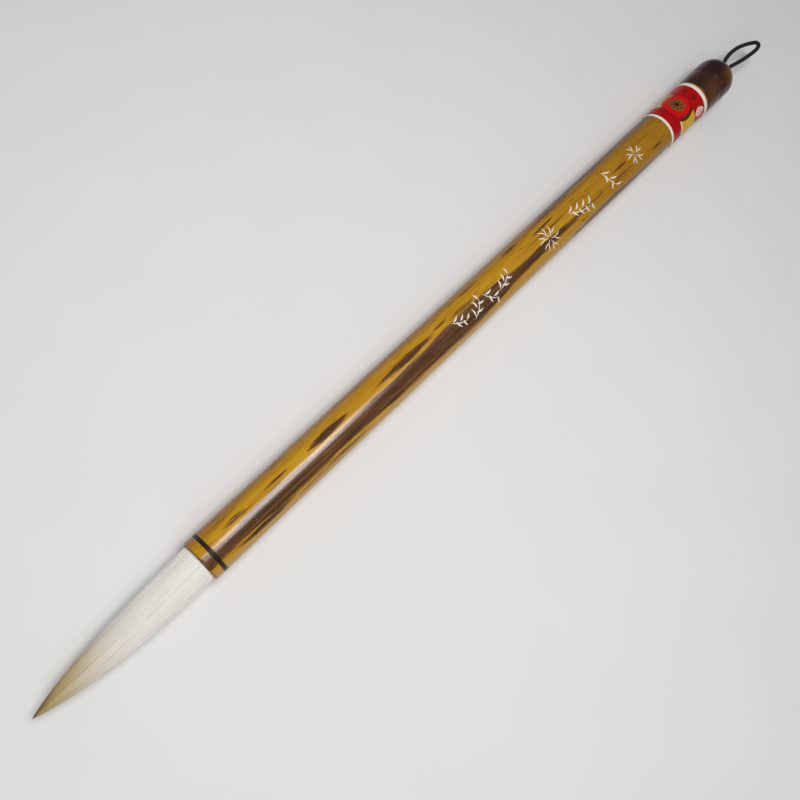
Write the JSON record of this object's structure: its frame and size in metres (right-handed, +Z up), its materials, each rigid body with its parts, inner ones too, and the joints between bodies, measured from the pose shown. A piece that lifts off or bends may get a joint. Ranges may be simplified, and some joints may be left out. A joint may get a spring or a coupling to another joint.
{
  "type": "calligraphy brush",
  "caption": "Long-handled calligraphy brush with a pointed hair tuft set in a bamboo handle, a turned end cap and a hanging loop.",
  "frame": {"origin": "on the surface the brush lies on, under the middle of its length from the hair point to the top of the cap (the loop left out)", "axes": "+X along the brush from the hair point to the hanging loop, +Z up from the surface it lies on, +Y to the left of the handle seen from the point"},
  "size_m": [0.3397, 0.0148, 0.0148],
  "materials": {
    "bamboo": "glossy lacquered bamboo, golden with dark brown smoked streaks",
    "black_thread": "black lacquered thread, shiny",
    "label_paper": "glossy printed paper, red with white borders and gold panels",
    "horn": "polished dark horn with amber patches",
    "cord": "black twisted cord, satin",
    "glue": "hard amber shellac",
    "resin": "hard brown rosin",
    "binding_thread": "undyed linen thread",
    "core_hair": "straight animal hair, golden at the point",
    "cover_hair": "straight white goat hair, soft sheen"
  },
  "bodies": {
    "handle": {"bamboo_handle": "bamboo", "mouth_ring_thread": "black_thread", "paper_label": "label_paper", "end_cap": "horn", "cord_knot": "cord", "cord_inside_cap": "cord", "socket_glue": "glue", "root_resin": "resin", "root_binding_thread": "binding_thread", "root_core_hair": "core_hair", "root_cover_hair": "cover_hair"},
    "tuft_belly": {"belly_core_hair": "core_hair", "belly_cover_hair": "cover_hair"},
    "tuft_waist": {"waist_core_hair": "core_hair", "waist_cover_hair": "cover_hair"},
    "tuft_point": {"point_core_hair": "core_hair", "point_cover_hair": "cover_hair"},
    "loop": {"hanging_loop": "cord"}
  },
  "joints": [
    {"name": "tuft_bend", "type": "hinge", "parent": "handle", "child": "tuft_belly", "pos_m": [-0.1035, 0, 0.0074], "axis": [0, 0, 1], "range_deg": [-15, 15], "stiffness_Nm_per_rad": 0.02},
    {"name": "waist_bend", "type": "hinge", "parent": "tuft_belly", "child": "tuft_waist", "pos_m": [-0.1239, 0, 0.0074], "axis": [0, 0, 1], "range_deg": [-22.5, 22.5]},
    {"name": "point_bend", "type": "hinge", "parent": "tuft_waist", "child": "tuft_point", "pos_m": [-0.1429, 0, 0.0074], "axis": [0, 0, 1], "range_deg": [-30, 30]},
    {"name": "loop_swing", "type": "hinge", "parent": "handle", "child": "loop", "pos_m": [0.1603, 0, 0.0074], "axis": [0, 1, 0], "range_deg": [-35, 25], "stiffness_Nm_per_rad": 0.0003}
  ],
  "couplings": [
    {"joint": "waist_bend", "follows": "tuft_bend", "ratio": 1.5},
    {"joint": "point_bend", "follows": "tuft_bend", "ratio": 2}
  ]
}
